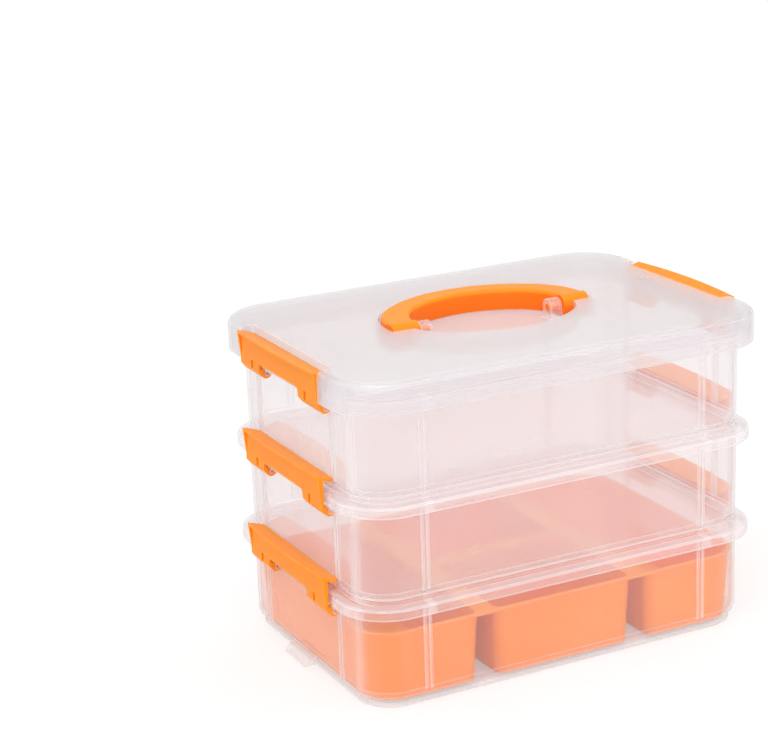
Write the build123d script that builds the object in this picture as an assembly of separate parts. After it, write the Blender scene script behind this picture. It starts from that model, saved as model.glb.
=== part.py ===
from build123d import *
import math
import os

# A stack of three clear boxes under one lid, held together by six latches, with a
# divider tray in the lowest box and a folding handle in a hollow of the lid.
# Millimetres, +Z up, X along the length. The origin is the centre of the base,
# on the table. Heights of a tier's features are given above that tier's own foot.

# Wall of a tier, measured outside at its lip
wall_length = 242.8
wall_width = 162.8
wall_corner = 22.5
wall_thickness = 1.6

# Heights of a tier
tier_count = 3
tier_pitch = 56.7
nest_depth = 6.9
plinth_height = 4.0
shoulder_height = 9.5
floor_top = 4.0
floor_thickness = 2.0
hem_bottom = 54.3
ledge_top = 60.4

# Insets of a tier's foot from the wall
plinth_inset = 3.2
foot_ring_width = 3.0
foot_rounding = 1.2
nest_clearance = 0.3
shoulder_inset = 0.8

# Collar around the mouth of a tier
collar_reach = 7.0
ledge_thickness = 1.6
hem_thickness = 1.5
ledge_chamfer = 0.7

# Shallow bay in each short side, where the latches lie
bay_depth = 2.0
bay_half_width = 51.3

# Ribs on the walls, in pairs
rib_width = 1.2
rib_height = 0.5
rib_spacing = 3.4
long_wall_rib_x = 87.0
short_wall_rib_y = 46.0

# Bars that the latches turn on
bar_radius = 1.6
bar_drop = 3.9
bar_end_gap = 0.4
web_thickness = 1.2

# Catches that the latches hook over
catch_half_width = 13.0
catch_rounding = 4.0
catch_bottom_gap = 0.4
catch_lip_gap = 0.5

# Latches
latch_side_gap = 0.7
latch_plate = 1.6
latch_face_gap = 0.4
latch_hold_gap = 0.5
latch_heel = 1.2
latch_leg_inner_end = 25.0
latch_mid_edge = 56.2
latch_corner = 2.0
clip_thickness = 1.43
clip_clearance = 0.07
clip_web_top = 2.5
clip_open_from = 60.0
clip_open_to = 205.0
clip_mouth_sides = 4
slot_y = 33.5
slot_width = 2.6
slot_top = 56.5
lip_thickness = 1.7
lip_slope = 0.3
lip_inner_gap = 0.6
lip_overhang = 1.5
lip_bow = 2.3
lip_end_chamfer = 2.2
gusset_foot = 55.0

# Lid
lid_plate = 2.0
skirt_drop = 6.5
skirt_clearance = 0.4
skirt_thickness = 1.6
lid_rounding = 4.0
rebate_depth = 6.5
rebate_floor_thickness = 1.5
rebate_wall_thickness = 1.5
rebate_wall_inset = 0.2
ring_clearance = 0.4
ring_thickness = 1.4
inner_corner_fill = 2.0

# Handle and the hollow that it folds into
handle_outer_x = 62.5
handle_outer_y = 49.0
handle_inner_x = 46.0
handle_inner_y = 34.5
handle_crown = 74.0
handle_height = 12.0
handle_proud = 2.0
handle_rounding = 2.5
hollow_gap = 1.5
hollow_end_gap = 1.5
hollow_floor_gap = 0.5
hollow_wall = 1.5
finger_half_length = 52.0
finger_reach = 38.0
finger_crown = 64.0
pin_radius = 2.2
pin_clearance = 0.06
pin_length = 7.0
boss_gap = 1.0
boss_width = 7.0
boss_radius = 5.0

# Divider tray
tray_gap = 0.65
tray_rim = 1.2
tray_top = 43.5
tray_plate = 1.3
well_wall = 1.3
well_draft = 1.8
well_corner = 5.0
column_gap = 9.5
column_gap_x = 48.5
row_gap = 9.5

# What follows from the sizes above
half_length = wall_length / 2
half_width = wall_width / 2
lip_top = tier_pitch + nest_depth
ledge_underside = ledge_top - ledge_thickness
mouth_inset = wall_thickness
collar_bay_face = half_length + collar_reach - bay_depth
pivot_x = collar_bay_face - hem_thickness / 2
pivot_z = hem_bottom - bar_drop
top_foot = tier_pitch * (tier_count - 1)
lid_reach = collar_reach + skirt_clearance + skirt_thickness
lid_bay_face = half_length + lid_reach - bay_depth
lid_bay_half_width = bay_half_width - skirt_clearance - skirt_thickness
latch_half_width = lid_bay_half_width - latch_side_gap
skirt_bottom = top_foot + ledge_top - skirt_drop
rebate_floor = top_foot + lip_top + rebate_floor_thickness
lid_top = rebate_floor + rebate_depth
hook_floor = rebate_floor - top_foot
handle_z = lid_top + handle_proud - handle_height / 2


def plan(reach):
    return RectangleRounded(wall_length + 2 * reach, wall_width + 2 * reach, wall_corner + reach)


def cut_bays(solid, reach, inset, bay_half, low, high):
    face = half_length + reach - bay_depth - inset
    half = bay_half + inset
    for side in (-1, 1):
        x = sorted((side * face, side * (face + 2 * bay_depth)))
        solid -= block(x, (-half, half), (low, high))
    return solid


def bayed_slab(reach, inset, bay_half, low, high):
    return cut_bays(slab(plan(reach - inset), low, high), reach, inset, bay_half, low, high)


def stack(levels):
    layers = []
    for (reach, low), (next_reach, high) in zip(levels, levels[1:]):
        taper = math.degrees(math.atan2(reach - next_reach, high - low))
        layers.append(extrude(Pos(0, 0, low) * plan(reach), high - low, taper=taper))
    return layers[0].fuse(*layers[1:])


def slab(outline, low, high):
    return extrude(Pos(0, 0, low) * outline, high - low)


def prism_along_y(profile, low, high):
    return extrude(Plane.XZ.offset(-low) * profile, low - high)


def patch(x, y):
    corners = [(x[0], y[0]), (x[1], y[0]), (x[1], y[1]), (x[0], y[1])]
    return make_face(Polyline(*corners, close=True))


def block(x, y, z):
    size = [high - low for low, high in (x, y, z)]
    middle = [(high + low) / 2 for low, high in (x, y, z)]
    return Pos(*middle) * Box(*size)


def both_ends(piece):
    return [piece, Rot(0, 0, 180) * piece]


def both_halves(piece):
    return [piece, mirror(piece, Plane.XZ)]


def collar():
    outer = bayed_slab(collar_reach, 0, bay_half_width, hem_bottom, ledge_top)
    rim = outer.faces().sort_by(Axis.Z)[-1].edges()
    outer = chamfer(rim, ledge_chamfer)
    inside = bayed_slab(collar_reach, hem_thickness, bay_half_width, hem_bottom, ledge_underside)
    return outer - inside


def wall_ribs():
    depth = wall_thickness / 2 + rib_height
    heights = (shoulder_height, ledge_underside)
    ribs = []
    for side in (-1, 1):
        for end in (-1, 1):
            for offset in (-rib_spacing / 2, rib_spacing / 2):
                x = side * long_wall_rib_x + offset
                y = end * (half_width + rib_height - depth / 2)
                ribs.append(
                    block(
                        (x - rib_width / 2, x + rib_width / 2),
                        (y - depth / 2, y + depth / 2),
                        heights,
                    )
                )
                x = end * (half_length + rib_height - depth / 2)
                y = side * short_wall_rib_y + offset
                ribs.append(
                    block(
                        (x - depth / 2, x + depth / 2),
                        (y - rib_width / 2, y + rib_width / 2),
                        heights,
                    )
                )
    return ribs


def hinge_bar():
    # A web at each end holds the bar below the collar, just clear of the latch's leg.
    near = latch_leg_inner_end - bar_end_gap
    far = latch_half_width + bar_end_gap
    length = far - near + 2 * web_thickness
    bar = Pos(pivot_x, (near + far) / 2, pivot_z) * Rot(90, 0, 0) * Cylinder(bar_radius, length)
    width = (pivot_x - hem_thickness / 2, pivot_x + hem_thickness / 2)
    height = (pivot_z, hem_bottom + hem_thickness)
    for y in ((near - web_thickness, near), (far, far + web_thickness)):
        bar += block(width, y, height)
    return bar


def catch():
    top = hook_floor - tier_pitch
    bottom = ledge_top - tier_pitch + catch_bottom_gap
    root = half_length - shoulder_inset - wall_thickness / 2
    step = half_length + catch_lip_gap
    over_lip = nest_depth + catch_bottom_gap / 2
    with BuildSketch() as profile:
        with BuildLine():
            Polyline(
                (lid_bay_face, top - catch_rounding),
                (lid_bay_face, bottom),
                (step, bottom),
                (step, over_lip),
                (root, over_lip),
                (root, top),
                (lid_bay_face - catch_rounding, top),
            )
            RadiusArc(
                (lid_bay_face - catch_rounding, top),
                (lid_bay_face, top - catch_rounding),
                catch_rounding,
            )
        make_face()
    return prism_along_y(profile.sketch, -catch_half_width, catch_half_width)


def tier():
    mouth = -mouth_inset
    slope_top = mouth - nest_clearance
    body = stack([(-plinth_inset, 0), (-plinth_inset, plinth_height), (slope_top, nest_depth)])
    foot = body.faces().sort_by(Axis.Z)[0].edges()
    body = chamfer(foot, foot_rounding)
    body += stack([(-shoulder_inset, nest_depth), (0, shoulder_height), (0, lip_top)])
    body += collar()
    body += wall_ribs()
    for end in both_ends(catch()):
        body += end
    for half in both_halves(hinge_bar()):
        for end in both_ends(half):
            body += end
    inside = stack(
        [
            (-plinth_inset - wall_thickness, floor_top),
            (slope_top - wall_thickness, nest_depth),
            (-wall_thickness, shoulder_height),
            (mouth, lip_top),
        ]
    )
    hollow_foot = slab(plan(-plinth_inset - foot_ring_width), 0, floor_top - floor_thickness)
    return body - inside - hollow_foot


def clip():
    outer = bar_radius + clip_clearance + clip_thickness
    plate = lid_bay_face + latch_face_gap + latch_plate - pivot_x
    # Below its heel the plate runs straight on into the round of the clip.
    touch = math.atan2(latch_heel, plate) - math.acos(outer / math.hypot(plate, latch_heel))
    foot = Polyline(
        (0, 0),
        (outer * math.cos(touch), outer * math.sin(touch)),
        (plate, latch_heel),
        (plate, clip_web_top),
        (0, clip_web_top),
        close=True,
    )
    profile = Circle(outer) + make_face(foot)
    profile -= Circle(bar_radius + clip_clearance)
    # The mouth that lets the clip snap on the bar is a wedge from the bar's centre.
    mouth = [(0, 0)]
    for step in range(clip_mouth_sides + 1):
        turn = (clip_open_to - clip_open_from) * step / clip_mouth_sides
        angle = math.radians(clip_open_from + turn)
        mouth.append((2 * outer * math.cos(angle), 2 * outer * math.sin(angle)))
    return Pos(pivot_x, pivot_z) * (profile - make_face(Polyline(*mouth, close=True)))


def latch():
    half = latch_half_width
    inner_face = lid_bay_face + latch_face_gap
    outer_face = inner_face + latch_plate
    heel = pivot_z + latch_heel
    lip_low = hook_floor + latch_hold_gap
    lip_inner = half_length + lip_inner_gap
    plate_top = lip_low + lip_slope * (inner_face - lip_inner) + lip_thickness / 2
    face = patch((-half, half), (heel, plate_top))
    face -= patch((-latch_leg_inner_end, latch_leg_inner_end), (heel, latch_mid_edge))
    inner_corners = [v for v in face.vertices() if abs(v.Y - latch_mid_edge) < latch_corner / 2]
    face = fillet(inner_corners, latch_corner)
    body = extrude(Plane.YZ.offset(inner_face) * face, latch_plate)
    for leg in both_halves(prism_along_y(clip(), latch_leg_inner_end, half)):
        body += leg
    # The lip is a sloping shelf whose outer edge bows outwards.
    outer_end = outer_face + lip_overhang
    with BuildSketch() as shelf:
        with BuildLine():
            Polyline(
                (outer_end, -half),
                (lip_inner + lip_end_chamfer, -half),
                (lip_inner, lip_end_chamfer - half),
                (lip_inner, half - lip_end_chamfer),
                (lip_inner + lip_end_chamfer, half),
                (outer_end, half),
            )
            ThreePointArc((outer_end, half), (outer_end + lip_bow, 0), (outer_end, -half))
        make_face()
    far = outer_end + 2 * lip_bow
    rise = lip_slope * (far - lip_inner)
    section = Polyline(
        (lip_inner, lip_low),
        (far, lip_low + rise),
        (far, lip_low + rise + lip_thickness),
        (lip_inner, lip_low + lip_thickness),
        close=True,
    )
    slope = prism_along_y(make_face(section), -half, half)
    body += slope & slab(shelf.sketch, lip_low - lip_thickness, lip_low + rise + 2 * lip_thickness)
    end_height = lip_low + lip_slope * (outer_end - lip_inner) + lip_thickness / 2
    fin = make_face(
        Polyline(
            (outer_face - latch_plate / 2, gusset_foot),
            (outer_face, gusset_foot),
            (outer_end, end_height),
            (outer_face - latch_plate / 2, end_height),
            close=True,
        )
    )
    for gusset in both_halves(prism_along_y(fin, half - latch_plate, half)):
        body += gusset
    for side in (-1, 1):
        y = (side * slot_y - slot_width / 2, side * slot_y + slot_width / 2)
        body -= block((inner_face - latch_face_gap, far), y, (heel, slot_top))
    return body


def bow(half, height, crown):
    # Half an oval on the X axis: a wide arc over the middle, run out into an arc at each end.
    end = (height**2 - 2 * height * crown + half**2) / (2 * (half - crown))
    rise = crown - height
    spread = half - end
    x = spread + end * spread / (crown - end)
    y = end * rise / (crown - end)
    side = spread + end * math.cos(math.atan2(rise, spread) / 2)
    side_y = end * math.sin(math.atan2(rise, spread) / 2)
    with BuildSketch() as sketch:
        with BuildLine():
            ThreePointArc((half, 0), (side, side_y), (x, y))
            ThreePointArc((x, y), (0, height), (-x, y))
            ThreePointArc((-x, y), (-side, side_y), (-half, 0))
            Line((-half, 0), (half, 0))
        make_face()
    return sketch.sketch


def hollow_outline(grow):
    front = -handle_height / 2 - hollow_end_gap
    reach = hollow_gap + grow
    half = handle_outer_x + reach
    back = bow(half, handle_outer_y + reach, handle_crown + reach)
    ends = patch((-half, half), (front - grow, 0))
    finger = bow(finger_half_length + grow, finger_reach + grow, finger_crown + grow)
    return back + ends + Rot(0, 0, 180) * finger


def lid_boss():
    floor = handle_z - handle_height / 2 - hollow_floor_gap
    high = handle_inner_x - boss_gap
    face = Circle(boss_radius)
    drop = handle_z - floor
    face += Pos(0, -drop / 2) * Rectangle(2 * boss_radius, drop)
    face -= Circle(pin_radius + pin_clearance)
    return extrude(Plane.YZ.offset(high - boss_width) * Pos(0, handle_z) * face, boss_width)


def lid():
    ledge = top_foot + ledge_top
    body = slab(plan(lid_reach), skirt_bottom, lid_top)
    body = fillet(body.faces().sort_by(Axis.Z)[-1].edges(), lid_rounding)
    body = cut_bays(body, lid_reach, 0, lid_bay_half_width, skirt_bottom, lid_top)
    body -= bayed_slab(
        lid_reach, skirt_thickness, lid_bay_half_width, skirt_bottom, lid_top - lid_plate
    )
    # Floor of the rebate that the latch's lip lies in, thickened at its outer corner.
    wall_out = half_length + rebate_wall_inset
    wall_in = wall_out - rebate_wall_thickness
    underside = top_foot + lip_top
    inner_face = lid_bay_face - skirt_thickness
    outer_face = lid_bay_face - skirt_thickness / 2
    within_plate = lid_top - lid_plate / 2
    above = lid_top + lid_plate
    section = make_face(
        Polyline(
            (wall_in, within_plate),
            (wall_in, underside),
            (inner_face - inner_corner_fill, underside),
            (inner_face, underside - inner_corner_fill),
            (outer_face, underside - inner_corner_fill),
            (outer_face, within_plate),
            close=True,
        )
    )
    half = lid_bay_half_width + rebate_wall_thickness
    curve_x = lid_bay_face - catch_rounding
    curve_z = rebate_floor - catch_rounding
    cut_profile = patch((wall_out, lid_bay_face + bay_depth), (rebate_floor, above))
    corner = patch((curve_x, lid_bay_face), (curve_z, rebate_floor))
    cut_profile += corner - Pos(curve_x, curve_z) * Circle(catch_rounding)
    for fill in both_ends(prism_along_y(section, -half, half)):
        body += fill
    body += slab(plan(ring_clearance + ring_thickness) - plan(ring_clearance), ledge, within_plate)
    for cut in both_ends(prism_along_y(cut_profile, -lid_bay_half_width, lid_bay_half_width)):
        body -= cut
    floor = handle_z - handle_height / 2 - hollow_floor_gap
    body += slab(hollow_outline(hollow_wall), floor - hollow_wall, within_plate)
    body -= slab(hollow_outline(0), floor, above)
    for boss in both_ends(lid_boss()):
        body += boss
    return body


def handle():
    low = handle_z - handle_height / 2
    strap = bow(handle_outer_x, handle_outer_y, handle_crown)
    strap -= bow(handle_inner_x, handle_inner_y, handle_crown - handle_outer_y + handle_inner_y)
    body = slab(strap, low, low + handle_height)
    top = body.faces().sort_by(Axis.Z)[-1].edges().filter_by(lambda e: e.geom_type != GeomType.LINE)
    body = fillet(top, handle_rounding)
    width = handle_outer_x - handle_inner_x
    for side in (-1, 1):
        middle = side * (handle_outer_x + handle_inner_x) / 2
        end = Pos(middle, 0, handle_z) * Rot(0, 90, 0) * Cylinder(handle_height / 2, width)
        inner = handle_inner_x - boss_gap - pin_length
        root = handle_inner_x + width / 2
        pin = Pos(side * (inner + root) / 2, 0, handle_z) * Rot(0, 90, 0)
        body += end + pin * Cylinder(pin_radius, root - inner)
    return body


def well(cell, inset, low):
    x = (cell[0] + inset, cell[1] - inset)
    y = (cell[2] + inset, cell[3] - inset)
    body = block(x, y, (low, tray_top))
    sides = body.faces().filter_by(lambda f: abs(f.normal_at().Z) < 0.5)
    lean = math.degrees(math.atan2(well_draft, tray_top - floor_top))
    body = draft(sides, Plane.XY.offset(tray_top), -lean)
    edge_x = half_length - wall_corner
    upright = body.edges().filter_by(lambda e: abs(e.tangent_at(0.5).Z) > 0.5)
    wide = upright.filter_by(lambda e: abs(e.center().X) > edge_x)
    narrow = upright.filter_by(lambda e: abs(e.center().X) < edge_x)
    if wide:
        body = fillet(wide, wall_corner - mouth_inset - tray_gap - tray_rim - inset)
        upright = body.edges().filter_by(lambda e: abs(e.tangent_at(0.5).Z) > 0.5)
        narrow = upright.filter_by(lambda e: abs(e.center().X) < edge_x - wall_corner)
    return fillet(narrow, well_corner - inset)


def tray():
    reach = -mouth_inset - tray_gap
    edge_x = half_length + reach - tray_rim
    edge_y = half_width + reach - tray_rim
    inner = column_gap_x - column_gap / 2
    outer = column_gap_x + column_gap / 2
    cells = [
        (-edge_x, -outer, -edge_y, edge_y),
        (outer, edge_x, -edge_y, edge_y),
        (-inner, inner, -edge_y, -row_gap / 2),
        (-inner, inner, row_gap / 2, edge_y),
    ]
    body = slab(plan(reach), tray_top - tray_plate, tray_top)
    for cell in cells:
        body += well(cell, 0, floor_top)
    for cell in cells:
        body -= well(cell, well_wall, floor_top + well_wall)
    return body


os.makedirs("parts", exist_ok=True)

one_tier = tier()
right_latch = latch()
pieces = {
    "bottom_tier": one_tier,
    "middle_tier": Pos(0, 0, tier_pitch) * one_tier,
    "top_tier": Pos(0, 0, 2 * tier_pitch) * one_tier,
    "divider_tray": tray(),
    "lid": lid(),
    "handle": handle(),
}
for number, level in enumerate(("lower", "upper", "lid")):
    place = Pos(0, 0, number * tier_pitch)
    pieces[level + "_latch_right"] = place * right_latch
    pieces[level + "_latch_left"] = place * Rot(0, 0, 180) * right_latch

for name, piece in pieces.items():
    export_step(piece, "parts/" + name + ".step")
    print(name, len(piece.solids()), round(piece.volume))
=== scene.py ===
import math

import bpy
from mathutils import Matrix, Vector

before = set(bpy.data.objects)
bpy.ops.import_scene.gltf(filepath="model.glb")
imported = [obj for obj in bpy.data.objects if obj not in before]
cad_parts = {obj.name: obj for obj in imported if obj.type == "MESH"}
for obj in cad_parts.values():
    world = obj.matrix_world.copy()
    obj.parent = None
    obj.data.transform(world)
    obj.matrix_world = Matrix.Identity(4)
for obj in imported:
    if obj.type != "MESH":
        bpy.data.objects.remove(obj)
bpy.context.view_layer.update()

scene = bpy.context.scene


def newMaterial(name):
    material = bpy.data.materials.new(name)
    material.use_nodes = True
    material.node_tree.nodes.clear()
    return material, material.node_tree


def addNode(tree, kind, inputs=None, **settings):
    # Each input gets a number, a colour, or the output of another node.
    node = tree.nodes.new("ShaderNode" + kind)
    for key, value in settings.items():
        setattr(node, key, value)
    for key, value in (inputs or {}).items():
        if isinstance(value, bpy.types.NodeSocket):
            tree.links.new(value, node.inputs[key])
        else:
            node.inputs[key].default_value = value
    return node


def calc(tree, operation, *values):
    node = addNode(tree, "Math", dict(enumerate(values)), operation=operation)
    return node.outputs["Value"]


def spread(tree, value, low, high, start=0.0, end=1.0):
    ends = {"From Min": start, "From Max": end, "To Min": low, "To Max": high}
    return addNode(tree, "MapRange", {"Value": value, **ends}).outputs["Result"]


def blend(tree, share, first, second):
    mix = addNode(tree, "MixShader", {0: share, 1: first, 2: second})
    return mix.outputs["Shader"]


def mixColours(tree, share, first, second, **settings):
    mix = addNode(tree, "Mix", {0: share, 6: first, 7: second}, data_type="RGBA", **settings)
    return mix.outputs[2]


def seenShare(tree):
    # 1 for what the camera sees, straight or in gloss and clear plastic, and 0 for other light
    path = addNode(tree, "LightPath").outputs
    mirrored = calc(tree, "MAXIMUM", path["Is Glossy Ray"], path["Is Transmission Ray"])
    return calc(tree, "MAXIMUM", path["Is Camera Ray"], mirrored)


def dress(nodeName, material, look, edgeMaterial=None):
    # The CAD piece keeps its shape: its edges are only softened and its finish changed.
    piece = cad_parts[nodeName]
    piece.data.materials.clear()
    piece.data.materials.append(material)
    weld = piece.modifiers.new("weldSeams", "WELD")
    weld.merge_threshold = look["weld"]
    bevel = piece.modifiers.new("softEdge", "BEVEL")
    bevel.width = look["edge"]
    bevel.segments = 2
    bevel.limit_method = "ANGLE"
    bevel.angle_limit = math.radians(look["edgeAngle"])
    if edgeMaterial:
        bevel.use_clamp_overlap = False
        piece.data.materials.append(edgeMaterial)
        bevel.material = 1
        shade = piece.modifiers.new("evenShade", "WEIGHTED_NORMAL")
        shade.keep_sharp = False


# Tiers: clear polypropylene with a little haze, which shows what is behind it, and painted
# highlights at the corners, ribs, collar and edges
tierLook = {
    "milk": (0.97, 0.945, 0.955, 1),
    "tint": (0.995, 0.992, 0.994, 1),
    "glow": 0.5,  # share of the haze that light comes through from behind
    "faceHaze": 0.07,  # seen straight on
    "edgeHaze": 0.42,  # seen at a flat angle
    "angleBlend": 0.42,
    "frost": 0.06,  # extra haze on level faces, such as the floors
    "frostStart": 0.7,
    "ribHazeAndHighlight": 0.16,  # the wall is thicker and milkier at its ribs and its collar, with a painted highlight along them
    "ribPlaces": (0.087, 0.046),  # from the middle, on the long and the short walls
    "ribHalfWidth": 0.0023,
    "wallFaces": (0.0812, 0.1192),  # just inside the outer faces of those walls
    "collarHazeAndHighlight": 0.05,
    "collarStarts": (0.1222, 0.0822),  # along the box and across it
    "cornerHighlight": 0.24,  # painted highlight, where a short wall turns into its corner
    "cornerMiddle": 0.5,
    "cornerSpread": 0.42,
    "shadowShare": 0.05,  # how much of the haze a shadow sees
    "roughness": 0.22,
    "index": 1.49,
    "glossRoughness": 0.07,
    "glossIndex": 1.42,
    "streakScale": 9.0,  # flow streaks of the moulding
    "streakDetail": 4.0,
    "streakRoughness": 0.6,
    "streakRange": (0.3, 0.7),
    "streakHaze": (0.9, 1.1),
    "streakDepth": 0.05,
    "streakHeight": 0.0004,
    "edge": 0.0004,
    "edgeAngle": 35,
    "weld": 0.00002,
}

# Lid: greyer and milkier, with no ribs or collar
lidLook = {
    **tierLook,
    "milk": (0.86, 0.845, 0.86, 1),
    "faceHaze": 0.19,
    "edgeHaze": 0.54,
    "frost": 0.0,
    "ribHazeAndHighlight": 0.0,
    "collarHazeAndHighlight": 0.0,
}

# Rounded edges of the tiers and the lid, whitened as a painted highlight
highlightEdgeLook = {**tierLook, "faceHaze": 0.405, "edgeHaze": 0.93}


def hazeAndHighlightShare(tree, look, place, streak):
    # How milky the plastic is at each point, with painted highlights at the corners, ribs and
    # collar: 0 is clear
    normal = addNode(tree, "SeparateXYZ", {"Vector": place["Normal"]}).outputs
    spot = addNode(tree, "SeparateXYZ", {"Vector": place["Object"]}).outputs
    facesEnd, facesSide, facesUp = (calc(tree, "ABSOLUTE", normal[axis]) for axis in "XYZ")
    along, across = (calc(tree, "ABSOLUTE", spot[axis]) for axis in "XY")

    facing = addNode(tree, "LayerWeight", {"Blend": look["angleBlend"]}).outputs["Facing"]
    hazeAndHighlight = spread(tree, facing, look["faceHaze"], look["edgeHaze"])
    frost = spread(tree, facesUp, 0.0, look["frost"], start=look["frostStart"])
    hazeAndHighlight = calc(tree, "ADD", hazeAndHighlight, frost)

    # A painted highlight: a soft white band that runs up each corner, on the short wall's side
    oblique = calc(tree, "MULTIPLY", calc(tree, "MULTIPLY", facesEnd, facesSide), 2.0)
    away = calc(tree, "ABSOLUTE", calc(tree, "SUBTRACT", oblique, look["cornerMiddle"]))
    band = calc(tree, "MULTIPLY_ADD", away, -1 / look["cornerSpread"], 1.0)
    endwise = calc(tree, "GREATER_THAN", facesEnd, facesSide)
    band = calc(tree, "MULTIPLY", calc(tree, "MAXIMUM", band, 0.0), endwise)
    hazeAndHighlight = calc(tree, "MULTIPLY_ADD", band, look["cornerHighlight"], hazeAndHighlight)

    # Ribs and collar: milkier, thicker plastic with a painted highlight along them
    ribs = []
    walls = ((along, across), (across, along))
    for (offset, outward), ribPlace, wallFace in zip(walls, look["ribPlaces"], look["wallFaces"]):
        beside = calc(tree, "COMPARE", offset, ribPlace, look["ribHalfWidth"])
        outside = calc(tree, "GREATER_THAN", outward, wallFace)
        ribs.append(calc(tree, "MULTIPLY", beside, outside))
    hazeAndHighlight = calc(tree, "MULTIPLY_ADD", calc(tree, "MAXIMUM", *ribs), look["ribHazeAndHighlight"], hazeAndHighlight)

    past = [
        calc(tree, "GREATER_THAN", offset, collarStart)
        for offset, collarStart in zip((along, across), look["collarStarts"])
    ]
    hazeAndHighlight = calc(tree, "MULTIPLY_ADD", calc(tree, "MAXIMUM", *past), look["collarHazeAndHighlight"], hazeAndHighlight)

    start, end = look["streakRange"]
    hazeAndHighlight = calc(tree, "MULTIPLY", hazeAndHighlight, spread(tree, streak, *look["streakHaze"], start, end))
    shadowRay = addNode(tree, "LightPath").outputs["Is Shadow Ray"]
    return calc(tree, "MULTIPLY", hazeAndHighlight, spread(tree, shadowRay, 1.0, look["shadowShare"]))


def makeClear(name, look):
    material, tree = newMaterial(name)
    place = addNode(tree, "TexCoord").outputs
    streak = addNode(tree, "TexNoise", {
        "Vector": place["Object"],
        "Scale": look["streakScale"],
        "Detail": look["streakDetail"],
        "Roughness": look["streakRoughness"],
    }).outputs["Fac"]
    ripple = addNode(tree, "Bump", {
        "Strength": look["streakDepth"],
        "Distance": look["streakHeight"],
        "Height": streak,
    }).outputs["Normal"]
    body = addNode(tree, "BsdfPrincipled", {
        "Base Color": look["milk"],
        "Roughness": look["roughness"],
        "IOR": look["index"],
        "Normal": ripple,
    }).outputs["BSDF"]
    glow = addNode(tree, "BsdfTranslucent", {"Color": look["milk"]}).outputs["BSDF"]
    clear = addNode(tree, "BsdfTransparent", {"Color": look["tint"]}).outputs["BSDF"]
    milky = blend(tree, look["glow"], body, glow)
    plastic = blend(tree, hazeAndHighlightShare(tree, look, place, streak), clear, milky)

    # Only the outer side of a surface mirrors the room.
    gloss = addNode(tree, "BsdfGlossy", {"Roughness": look["glossRoughness"]}).outputs["BSDF"]
    fresnel = addNode(tree, "Fresnel", {"IOR": look["glossIndex"]}).outputs["Fac"]
    outer = calc(tree, "SUBTRACT", 1.0, addNode(tree, "NewGeometry").outputs["Backfacing"])
    surface = blend(tree, calc(tree, "MULTIPLY", fresnel, outer), plastic, gloss)
    addNode(tree, "OutputMaterial", {"Surface": surface})
    return material


# Latches: orange polypropylene with a fine satin grain and a little painted shade on upright
# faces
latchLook = {
    "colour": (1.0, 0.31, 0.012, 1),
    "deepColour": (1.0, 0.25, 0.004, 1),
    "cloudScale": 18.0,  # slow drift between the two colours
    "cloudDetail": 3.0,
    "paintedSideShade": 0.95,  # painted shade: the green left on upright faces, which look deeper orange as if less light reached them
    "paintedSideShadeEnd": 0.75,
    "roughness": 0.45,
    "roughnessDrift": 0.06,
    "gleam": 0.2,
    "soak": 0.45,  # light that goes into the plastic and comes out redder
    "soakReach": (0.009, 0.0028, 0.0004),
    "grainScale": 900.0,
    "grainDetail": 2.0,
    "grainDepth": 0.06,
    "grainHeight": 0.0002,
    "edge": 0.0003,
    "edgeAngle": 35,
    "weld": 0.00002,
}

# Divider tray and handle: the same plastic, with more painted shade on their upright faces
trayLook = {**latchLook, "paintedSideShade": 0.92, "edge": 0.0004}
handleLook = {**latchLook, "paintedSideShade": 0.66, "edge": 0.0004}


def makeOrange(name, look):
    material, tree = newMaterial(name)
    place = addNode(tree, "TexCoord").outputs
    cloud, grain = (
        addNode(tree, "TexNoise", {
            "Vector": place["Object"],
            "Scale": look[kind + "Scale"],
            "Detail": look[kind + "Detail"],
        }).outputs["Fac"]
        for kind in ("cloud", "grain")
    )
    tone = mixColours(tree, cloud, look["deepColour"], look["colour"])
    # Painted shade: upright faces lose some green, so they look deeper orange, as if shaded
    facesUp = addNode(tree, "SeparateXYZ", {"Vector": place["Normal"]}).outputs["Z"]
    level = spread(tree, facesUp, look["paintedSideShade"], 1.0, end=look["paintedSideShadeEnd"])
    shadeTint = addNode(tree, "CombineColor", {"Red": 1.0, "Green": level, "Blue": level})
    paint = mixColours(tree, 1.0, tone, shadeTint.outputs["Color"], blend_type="MULTIPLY")
    satin = addNode(tree, "Bump", {
        "Strength": look["grainDepth"],
        "Distance": look["grainHeight"],
        "Height": grain,
    }).outputs["Normal"]
    rough, drift = look["roughness"], look["roughnessDrift"]
    body = addNode(tree, "BsdfPrincipled", {
        "Base Color": paint,
        "Roughness": spread(tree, cloud, rough - drift, rough + drift),
        "Specular IOR Level": look["gleam"],
        "Subsurface Weight": look["soak"],
        "Subsurface Radius": look["soakReach"],
        "Subsurface Scale": 1.0,
        "Normal": satin,
    }).outputs["BSDF"]
    addNode(tree, "OutputMaterial", {"Surface": body})
    return material


clearWall = makeClear("clearWall", tierLook)
clearLid = makeClear("clearLid", lidLook)
highlightEdge = makeClear("highlightEdge", highlightEdgeLook)
orangeLatch = makeOrange("orangeLatch", latchLook)
for tierName in ("bottom_tier", "middle_tier", "top_tier"):
    dress(tierName, clearWall, tierLook, highlightEdge)
dress("lid", clearLid, lidLook, highlightEdge)
dress("divider_tray", makeOrange("orangeTray", trayLook), trayLook)
dress("handle", makeOrange("orangeHandle", handleLook), handleLook)
for level in ("lower", "upper", "lid"):
    for side in ("right", "left"):
        dress(level + "_latch_" + side, orangeLatch, latchLook)
print("pieces dressed")

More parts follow.
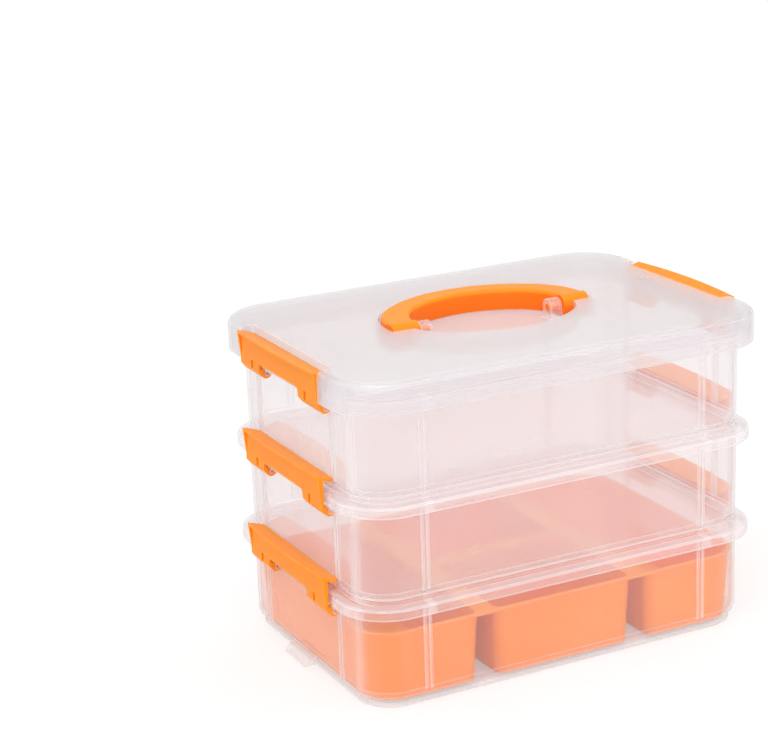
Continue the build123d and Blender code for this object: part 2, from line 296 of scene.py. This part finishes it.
# Pale floor, which the camera sees partly as blank paper, so that the shadow on it stays light
floorLook = {"half": 9.0, "colour": (0.94, 0.94, 0.945, 1), "roughness": 0.9, "blank": 0.6}
half = floorLook["half"]
corners = [(-half, -half, 0), (half, -half, 0), (half, half, 0), (-half, half, 0)]
mesh = bpy.data.meshes.new("paleFloor")
mesh.from_pydata(corners, [], [(0, 1, 2, 3)])
floor = bpy.data.objects.new("paleFloor", mesh)
scene.collection.objects.link(floor)
floorMaterial, tree = newMaterial("palePaper")
sheet = {"Base Color": floorLook["colour"], "Roughness": floorLook["roughness"]}
paper = addNode(tree, "BsdfPrincipled", sheet).outputs["BSDF"]
blank = addNode(tree, "Emission", {"Strength": 1.0}).outputs["Emission"]
share = calc(tree, "MULTIPLY", seenShare(tree), floorLook["blank"])
addNode(tree, "OutputMaterial", {"Surface": blend(tree, share, paper, blank)})
mesh.materials.append(floorMaterial)

# Soft light from all round, with a broad key from the upper left and a low fill from the front
lightLook = {
    "sky": 0.85,
    "seenSky": 1.0,
    "key": {"energy": 1.1, "angle": 50, "source": (-0.75, -0.9, 1.5)},
    "fill": {"energy": 0.5, "angle": 70, "source": (-0.3, -1.0, 0.35)},
    "clearWalls": 48,  # how many clear surfaces light and sight pass
}
world = bpy.data.worlds.new("softRoom")
scene.world = world
world.use_nodes = True
tree = world.node_tree
tree.nodes.clear()
strength = spread(tree, seenShare(tree), lightLook["sky"], lightLook["seenSky"])
sky = addNode(tree, "Background", {"Color": (1, 1, 1, 1), "Strength": strength})
addNode(tree, "OutputWorld", {"Surface": sky.outputs["Background"]})
for lampName in ("key", "fill"):
    lampLook = lightLook[lampName]
    lamp = bpy.data.lights.new(lampName, "SUN")
    lamp.energy = lampLook["energy"]
    lamp.angle = math.radians(lampLook["angle"])
    holder = bpy.data.objects.new(lampName, lamp)
    holder.rotation_mode = "QUATERNION"
    holder.rotation_quaternion = Vector(lampLook["source"]).to_track_quat("Z", "Y")
    scene.collection.objects.link(holder)
scene.view_settings.view_transform = "Standard"
scene.cycles.transparent_max_bounces = lightLook["clearWalls"]
print("light and floor set")

# Camera at the photograph's angle
view = {
    "azimuth": -26.659,
    "elevation": 16.996,
    "roll": -2.068,
    "distance": 1.19029,
    "target": (-0.06809, -0.00322, 0.16518),
    "lens": 102.29,
    "sensor": 36,
}
azimuth, elevation, roll = (math.radians(view[key]) for key in ("azimuth", "elevation", "roll"))
back = Vector((
    math.sin(azimuth) * math.cos(elevation),
    -math.cos(azimuth) * math.cos(elevation),
    math.sin(elevation),
))
right = Vector((math.cos(azimuth), math.sin(azimuth), 0))
up = back.cross(right)
rolledRight = right * math.cos(roll) + up * math.sin(roll)
rolledUp = up * math.cos(roll) - right * math.sin(roll)
lens = bpy.data.cameras.new("photoView")
lens.sensor_width = view["sensor"]
lens.lens = view["lens"]
camera = bpy.data.objects.new("photoView", lens)
turn = Matrix((rolledRight, rolledUp, back)).transposed().to_4x4()
camera.matrix_world = Matrix.Translation(Vector(view["target"]) + back * view["distance"]) @ turn
scene.collection.objects.link(camera)
scene.camera = camera
print("camera set")
